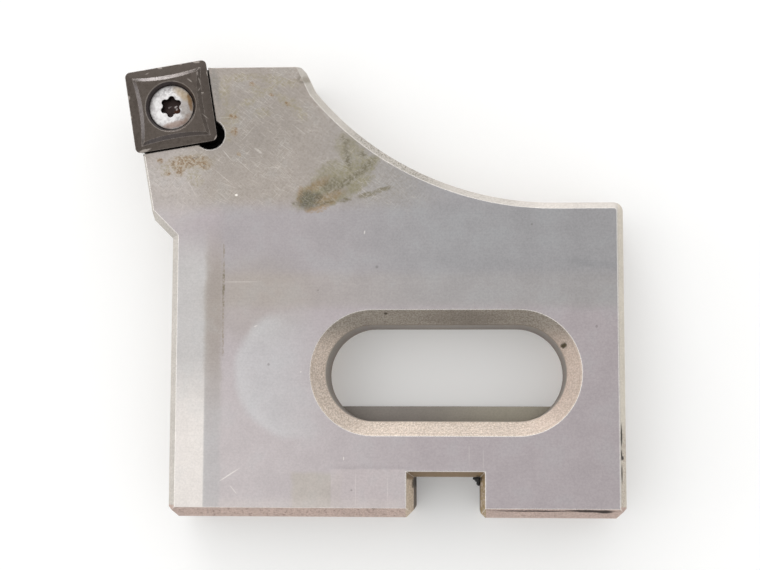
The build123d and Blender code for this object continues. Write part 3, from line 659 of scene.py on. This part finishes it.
def make_screw_steel():
    """Hardened alloy steel, bright and tumbled. It looks silvery with dull grey patches, a painted highlight,
    brown coolant stain on one side of its rim, a socket painted black for oil and shade with painted glints,
    and painted shade under its head."""
    material, tree, shader = new_material("bright_screw_steel")
    own = in_millimetres(tree, INSERT_MIDDLE, INSERT_TURN)
    mottle = add(tree, "ShaderNodeTexNoise", {"Vector": own, "Scale": 1.7, "Detail": 5.0, "Roughness": 0.65})
    x, y, z = add(tree, "ShaderNodeSeparateXYZ", {0: own}, out=(0, 1, 2))
    across = (x, y)
    torn = ragged(tree, own, across, 0.9, 0.25)
    patches = add(tree, "ShaderNodeMapRange", {0: mottle, 1: 0.42, 2: 0.62}, **SMOOTH)
    colour = paint(tree, linear("#dedcdb"), "#a6a1a2", patches, amount=0.8)
    # Painted highlight beside the socket, where the domed head catches the light
    head_highlight = oval(tree, torn, (-1.2, -0.3), (2.0, 2.2), 10, 0.4)
    colour = paint(tree, colour, "#e4e2e1", head_highlight, amount=0.55)
    for centre, half, turn, soft, tint, amount in HEAD_STAINS:
        colour = paint(tree, colour, tint, oval(tree, torn, centre, half, turn, soft), amount=amount)
    inner = oval(tree, across, (0, 0), (3.25, 3.25), soft=0.05)
    rim = add(tree, "ShaderNodeMath", {0: 1.0, 1: inner}, **MINUS)
    colour = paint(tree, colour, "#7e7976", rim, amount=0.5)
    # The socket is painted near black, partly oil and partly a painted shade in its recess
    deep = add(tree, "ShaderNodeMapRange", {0: z, 1: 14.35, 2: 14.1}, **SMOOTH)
    oily = oval(tree, across, (0, 0), (1.72, 1.72), soft=0.02)
    oily = add(tree, "ShaderNodeMath", {0: oily, 1: deep}, **TIMES)
    colour = paint(tree, colour, "#2c1b17", oily, amount=0.97)
    # Painted glints and a rust spot at the socket's bottom
    for centre, half, tint, amount in SOCKET_GLINTS:
        colour = paint(tree, colour, tint, oily, oval(tree, torn, centre, half, 0, 0.5), amount=amount)
    # Painted shade with some grime: below the head, in the countersink's gap, the screw is painted dark
    below_head = add(tree, "ShaderNodeMapRange", {0: z, 1: 13.6, 2: 13.2}, **SMOOTH)
    past_socket = add(tree, "ShaderNodeMath", {0: below_head, 1: oily}, use_clamp=True, **MINUS)
    colour = paint(tree, colour, "#4a4542", past_socket, amount=0.8)
    rough = add(tree, "ShaderNodeMapRange", {0: mottle, 1: 0.3, 2: 0.7, 3: 0.38, 4: 0.55}, **SMOOTH)
    soft_edge = add(tree, "ShaderNodeBevel", {"Radius": 0.12 * MM}, samples=6)
    bump = add(tree, "ShaderNodeBump", {
        "Strength": 0.7, "Distance": 0.03 * MM, "Height": mottle, "Normal": soft_edge,
    })
    shader.inputs["Metallic"].default_value = 0.9
    connect(tree, shader, Base_Color=colour, Roughness=rough, Normal=bump)
    return material


def make_grime():
    """Dried oil with steel dust in it, black and matt."""
    material, tree, shader = new_material("dried_grime")
    lumps = add(tree, "ShaderNodeTexNoise", {"Vector": in_millimetres(tree), "Scale": 3.0, "Detail": 4.0})
    pale = add(tree, "ShaderNodeMapRange", {0: lumps, 1: 0.5, 2: 0.75}, **SMOOTH)
    colour = paint(tree, linear("#12100f"), "#3a342e", pale, amount=0.8)
    bump = add(tree, "ShaderNodeBump", {"Strength": 0.8, "Distance": 0.05 * MM, "Height": lumps})
    shader.inputs["Roughness"].default_value = 0.7
    connect(tree, shader, Base_Color=colour, Normal=bump)
    return material


# Lumps of grime in the notch's corner: middle, half sizes
GRIME_LUMPS = [
    ((4.80, -15.85, 11.9), (0.50, 0.50, 0.75)), ((4.45, -15.70, 12.1), (0.42, 0.30, 0.50)),
    ((4.92, -16.35, 11.6), (0.34, 0.48, 0.60)),
]


def make_notch_grime():
    """A clot of dried oil in the upper right corner of the notch, pressed against both walls."""
    bpy.ops.object.select_all(action="DESELECT")
    lumps = []
    for middle, half in GRIME_LUMPS:
        place = [part * MM for part in middle]
        bpy.ops.mesh.primitive_ico_sphere_add(subdivisions=3, radius=MM, location=place)
        lump = bpy.context.object
        bpy.ops.object.mode_set(mode="EDIT")
        bpy.ops.mesh.select_all(action="SELECT")
        bpy.ops.transform.resize(value=half)
        bpy.ops.transform.vertex_random(offset=0.07 * MM, uniform=1.0, seed=len(lumps) + 3)
        bpy.ops.object.mode_set(mode="OBJECT")
        bpy.ops.object.transform_apply(location=True, rotation=True, scale=True)
        lumps.append(lump)
        bpy.ops.object.select_all(action="DESELECT")
    for lump in lumps:
        lump.select_set(True)
    bpy.context.view_layer.objects.active = lumps[0]
    bpy.ops.object.join()
    clot = bpy.context.object
    clot.name = "notch_grime"
    remesh = clot.modifiers.new("one_skin", "REMESH")
    remesh.voxel_size = 0.08 * MM
    bpy.ops.object.modifier_apply(modifier=remesh.name)
    bpy.ops.object.shade_smooth()
    clot.data.materials.clear()
    clot.data.materials.append(make_grime())
    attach(clot, "root")


def dress(node, material):
    """Give a CAD node its material."""
    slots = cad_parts[node].data.materials
    slots.clear()
    slots.append(material)


def set_stage():
    """The plain pale floor, just under the part. It glows a little to the viewer, so that it looks
    white and keeps a soft shadow."""
    bpy.ops.mesh.primitive_plane_add(size=6.0, location=(0, 0, -0.02 * MM))
    floor = bpy.context.object
    floor.name = "floor"
    bpy.ops.object.transform_apply(location=True, rotation=True, scale=True)
    material, tree, shader = new_material("pale_floor")
    shader.inputs["Base Color"].default_value = linear("#f2f2f1")
    shader.inputs["Roughness"].default_value = 1.0
    shader.inputs["Specular IOR Level"].default_value = 0.0
    shader.inputs["Emission Color"].default_value = linear("#ffffff")
    camera_ray, glossy_ray, clear_ray = add(tree, "ShaderNodeLightPath", out=(0, 3, 6))
    seen = add(tree, "ShaderNodeMath", {0: camera_ray, 1: glossy_ray}, **GREATEST)
    seen = add(tree, "ShaderNodeMath", {0: seen, 1: clear_ray}, **GREATEST)
    glow = add(tree, "ShaderNodeMath", {0: seen, 1: 0.12}, **TIMES)
    tree.links.new(glow, shader.inputs["Emission Strength"])
    floor.data.materials.append(material)


def set_world():
    """Soft room light, brighter towards the cutting end and darker towards the notch. The camera
    sees it as white."""
    world = bpy.data.worlds.new("soft_room")
    bpy.context.scene.world = world
    world.use_nodes = True
    tree = world.node_tree
    tree.nodes.clear()
    direction = add(tree, "ShaderNodeTexCoord", out=0)
    bright_side = (-0.22, 0.95, -0.12)
    towards = add(tree, "ShaderNodeVectorMath", {0: direction, 1: bright_side}, out=1, **ALONG)
    level = add(tree, "ShaderNodeMapRange", {0: towards, 1: -1.0, 2: 1.0, 3: 0.66, 4: 1.20})
    room = add(tree, "ShaderNodeBackground", {"Color": linear("#ffffff"), "Strength": level})
    seen = add(tree, "ShaderNodeBackground", {"Color": linear("#ffffff"), "Strength": 0.95})
    camera_ray = add(tree, "ShaderNodeLightPath", out=0)
    light = add(tree, "ShaderNodeMixShader", {0: camera_ray, 1: room, 2: seen})
    add(tree, "ShaderNodeOutputWorld", {0: light})


# Soft rectangular lamps: name, place and size in metres, power in watts
SOFTBOXES = [
    ("overhead_softbox", (-0.38, -0.10, 1.10), (0.9, 0.9), 1.25),
    ("front_softbox", (-0.33, 1.06, 0.37), (0.7, 0.16), 2.6),
    ("side_softbox", (-1.08, 0.06, 0.42), (0.6, 0.18), 0.8),
]
LAMPS_LOOK_AT = Vector((0, 0.01, 0))
# The photograph's camera, in metres and radians
CAMERA_PLACE = (0.003021, -0.009096, 0.238237)
CAMERA_ROLL, CAMERA_PITCH, CAMERA_YAW = -0.00298, -0.09881, -0.05726


def softbox(name, place, size, power):
    """A soft rectangular lamp that looks at the part."""
    lamp = bpy.data.lights.new(name, "AREA")
    lamp.shape = "RECTANGLE"
    lamp.size, lamp.size_y = size
    lamp.energy = power
    holder = bpy.data.objects.new(name, lamp)
    bpy.context.scene.collection.objects.link(holder)
    holder.location = place
    holder.rotation_euler = (LAMPS_LOOK_AT - Vector(place)).to_track_quat("-Z", "Y").to_euler()


def set_camera():
    """The camera at the photograph's place: 238 mm above the slot, leaning a few degrees."""
    lens = bpy.data.cameras.new("camera")
    lens.lens = 71.0
    lens.sensor_width = 36.0
    lens.clip_start, lens.clip_end = 0.01, 20.0
    camera = bpy.data.objects.new("camera", lens)
    bpy.context.scene.collection.objects.link(camera)
    roll = Matrix.Rotation(CAMERA_ROLL, 3, "Z")
    pitch = Matrix.Rotation(CAMERA_PITCH, 3, "X")
    yaw = Matrix.Rotation(CAMERA_YAW, 3, "Y")
    to_room = (roll @ pitch @ yaw).transposed().to_4x4()
    camera.matrix_world = Matrix.Translation(CAMERA_PLACE) @ to_room
    bpy.context.scene.camera = camera


set_camera()
set_stage()
set_world()
for lamp_name, lamp_place, lamp_size, lamp_power in SOFTBOXES:
    softbox(lamp_name, lamp_place, lamp_size, lamp_power)
dress("cartridge_body", make_tool_steel())
dress("cutting_insert", make_coated_carbide())
dress("insert_screw", make_screw_steel())
make_notch_grime()

bpy.context.scene.view_settings.view_transform = "Standard"
